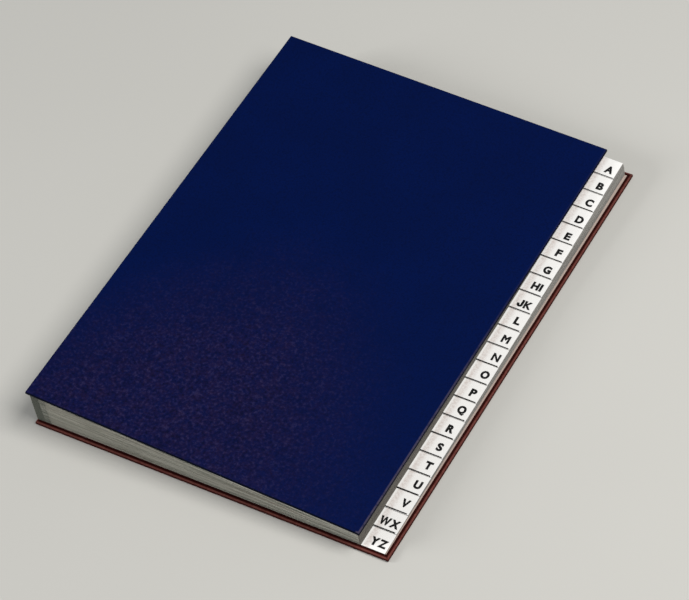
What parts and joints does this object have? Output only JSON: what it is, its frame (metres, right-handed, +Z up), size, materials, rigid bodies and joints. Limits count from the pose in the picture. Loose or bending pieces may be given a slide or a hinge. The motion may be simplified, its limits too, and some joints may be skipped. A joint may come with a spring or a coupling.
{
  "type": "alphabetical desk sorter",
  "caption": "Book-like desk sorter: stiff covers hinged over step-cut card dividers, with an alphabet of index tabs down the fore edge and a folded cloth spine.",
  "frame": {"origin": "centre of the back cover's underside, which rests on the desk", "axes": "+X from the spine to the index tabs, +Y along the spine towards the A end, +Z up out of the front cover"},
  "size_m": [0.2606, 0.34, 0.0343],
  "materials": {
    "navy_covering": "fine-grained dark blue covering, low sheen",
    "maroon_covering": "fine-grained red-brown covering, low sheen",
    "greyboard": "plain grey board",
    "lining_paper": "plain cream lining paper",
    "divider_card": "smooth white card, printed index letters",
    "spine_cloth": "grey-green bookbinding cloth"
  },
  "bodies": {
    "back_cover": {"back_cover_covering": "maroon_covering", "back_cover_board": "greyboard", "back_cover_lining": "lining_paper", "gusset_back_yz": "spine_cloth"},
    "divider_yz": {"divider_yz": "divider_card", "gusset_yz_wx": "spine_cloth"},
    "divider_wx": {"divider_wx": "divider_card", "gusset_wx_v": "spine_cloth"},
    "divider_v": {"divider_v": "divider_card", "gusset_v_u": "spine_cloth"},
    "divider_u": {"divider_u": "divider_card", "gusset_u_t": "spine_cloth"},
    "divider_t": {"divider_t": "divider_card", "gusset_t_s": "spine_cloth"},
    "divider_s": {"divider_s": "divider_card", "gusset_s_r": "spine_cloth"},
    "divider_r": {"divider_r": "divider_card", "gusset_r_q": "spine_cloth"},
    "divider_q": {"divider_q": "divider_card", "gusset_q_p": "spine_cloth"},
    "divider_p": {"divider_p": "divider_card", "gusset_p_o": "spine_cloth"},
    "divider_o": {"divider_o": "divider_card", "gusset_o_n": "spine_cloth"},
    "divider_n": {"divider_n": "divider_card", "gusset_n_m": "spine_cloth"},
    "divider_m": {"divider_m": "divider_card", "gusset_m_l": "spine_cloth"},
    "divider_l": {"divider_l": "divider_card", "gusset_l_jk": "spine_cloth"},
    "divider_jk": {"divider_jk": "divider_card", "gusset_jk_hi": "spine_cloth"},
    "divider_hi": {"divider_hi": "divider_card", "gusset_hi_g": "spine_cloth"},
    "divider_g": {"divider_g": "divider_card", "gusset_g_f": "spine_cloth"},
    "divider_f": {"divider_f": "divider_card", "gusset_f_e": "spine_cloth"},
    "divider_e": {"divider_e": "divider_card", "gusset_e_d": "spine_cloth"},
    "divider_d": {"divider_d": "divider_card", "gusset_d_c": "spine_cloth"},
    "divider_c": {"divider_c": "divider_card", "gusset_c_b": "spine_cloth"},
    "divider_b": {"divider_b": "divider_card", "gusset_b_a": "spine_cloth"},
    "divider_a": {"divider_a": "divider_card", "gusset_a_front": "spine_cloth"},
    "front_cover": {"front_cover_covering": "navy_covering", "front_cover_board": "greyboard", "front_cover_lining": "lining_paper"}
  },
  "joints": [
    {"name": "divider_yz_turn", "type": "hinge", "parent": "back_cover", "child": "divider_yz", "pos_m": [-0.12964, 0, 0.00329], "axis": [0, -1, 0], "range_deg": [0, 4], "deforming": ["gusset_back_yz"]},
    {"name": "divider_wx_turn", "type": "hinge", "parent": "divider_yz", "child": "divider_wx", "pos_m": [-0.12964, 0, 0.00455], "axis": [0, -1, 0], "range_deg": [0, 4], "deforming": ["gusset_yz_wx"]},
    {"name": "divider_v_turn", "type": "hinge", "parent": "divider_wx", "child": "divider_v", "pos_m": [-0.12964, 0, 0.00581], "axis": [0, -1, 0], "range_deg": [0, 4], "deforming": ["gusset_wx_v"]},
    {"name": "divider_u_turn", "type": "hinge", "parent": "divider_v", "child": "divider_u", "pos_m": [-0.12964, 0, 0.00707], "axis": [0, -1, 0], "range_deg": [0, 4], "deforming": ["gusset_v_u"]},
    {"name": "divider_t_turn", "type": "hinge", "parent": "divider_u", "child": "divider_t", "pos_m": [-0.12964, 0, 0.00833], "axis": [0, -1, 0], "range_deg": [0, 4], "deforming": ["gusset_u_t"]},
    {"name": "divider_s_turn", "type": "hinge", "parent": "divider_t", "child": "divider_s", "pos_m": [-0.12964, 0, 0.00959], "axis": [0, -1, 0], "range_deg": [0, 4], "deforming": ["gusset_t_s"]},
    {"name": "divider_r_turn", "type": "hinge", "parent": "divider_s", "child": "divider_r", "pos_m": [-0.12964, 0, 0.01085], "axis": [0, -1, 0], "range_deg": [0, 4], "deforming": ["gusset_s_r"]},
    {"name": "divider_q_turn", "type": "hinge", "parent": "divider_r", "child": "divider_q", "pos_m": [-0.12964, 0, 0.01211], "axis": [0, -1, 0], "range_deg": [0, 4], "deforming": ["gusset_r_q"]},
    {"name": "divider_p_turn", "type": "hinge", "parent": "divider_q", "child": "divider_p", "pos_m": [-0.12964, 0, 0.01337], "axis": [0, -1, 0], "range_deg": [0, 4], "deforming": ["gusset_q_p"]},
    {"name": "divider_o_turn", "type": "hinge", "parent": "divider_p", "child": "divider_o", "pos_m": [-0.12964, 0, 0.01463], "axis": [0, -1, 0], "range_deg": [0, 4], "deforming": ["gusset_p_o"]},
    {"name": "divider_n_turn", "type": "hinge", "parent": "divider_o", "child": "divider_n", "pos_m": [-0.12964, 0, 0.01589], "axis": [0, -1, 0], "range_deg": [0, 4], "deforming": ["gusset_o_n"]},
    {"name": "divider_m_turn", "type": "hinge", "parent": "divider_n", "child": "divider_m", "pos_m": [-0.12964, 0, 0.01715], "axis": [0, -1, 0], "range_deg": [0, 4], "deforming": ["gusset_n_m"]},
    {"name": "divider_l_turn", "type": "hinge", "parent": "divider_m", "child": "divider_l", "pos_m": [-0.12964, 0, 0.01841], "axis": [0, -1, 0], "range_deg": [0, 4], "deforming": ["gusset_m_l"]},
    {"name": "divider_jk_turn", "type": "hinge", "parent": "divider_l", "child": "divider_jk", "pos_m": [-0.12964, 0, 0.01967], "axis": [0, -1, 0], "range_deg": [0, 4], "deforming": ["gusset_l_jk"]},
    {"name": "divider_hi_turn", "type": "hinge", "parent": "divider_jk", "child": "divider_hi", "pos_m": [-0.12964, 0, 0.02093], "axis": [0, -1, 0], "range_deg": [0, 4], "deforming": ["gusset_jk_hi"]},
    {"name": "divider_g_turn", "type": "hinge", "parent": "divider_hi", "child": "divider_g", "pos_m": [-0.12964, 0, 0.02219], "axis": [0, -1, 0], "range_deg": [0, 4], "deforming": ["gusset_hi_g"]},
    {"name": "divider_f_turn", "type": "hinge", "parent": "divider_g", "child": "divider_f", "pos_m": [-0.12964, 0, 0.02345], "axis": [0, -1, 0], "range_deg": [0, 4], "deforming": ["gusset_g_f"]},
    {"name": "divider_e_turn", "type": "hinge", "parent": "divider_f", "child": "divider_e", "pos_m": [-0.12964, 0, 0.02471], "axis": [0, -1, 0], "range_deg": [0, 4], "deforming": ["gusset_f_e"]},
    {"name": "divider_d_turn", "type": "hinge", "parent": "divider_e", "child": "divider_d", "pos_m": [-0.12964, 0, 0.02597], "axis": [0, -1, 0], "range_deg": [0, 4], "deforming": ["gusset_e_d"]},
    {"name": "divider_c_turn", "type": "hinge", "parent": "divider_d", "child": "divider_c", "pos_m": [-0.12964, 0, 0.02723], "axis": [0, -1, 0], "range_deg": [0, 4], "deforming": ["gusset_d_c"]},
    {"name": "divider_b_turn", "type": "hinge", "parent": "divider_c", "child": "divider_b", "pos_m": [-0.12964, 0, 0.02849], "axis": [0, -1, 0], "range_deg": [0, 4], "deforming": ["gusset_c_b"]},
    {"name": "divider_a_turn", "type": "hinge", "parent": "divider_b", "child": "divider_a", "pos_m": [-0.12964, 0, 0.02975], "axis": [0, -1, 0], "range_deg": [0, 4], "deforming": ["gusset_b_a"]},
    {"name": "front_cover_turn", "type": "hinge", "parent": "divider_a", "child": "front_cover", "pos_m": [-0.12964, 0, 0.03101], "axis": [0, -1, 0], "range_deg": [0, 95], "deforming": ["gusset_a_front"]}
  ]
}
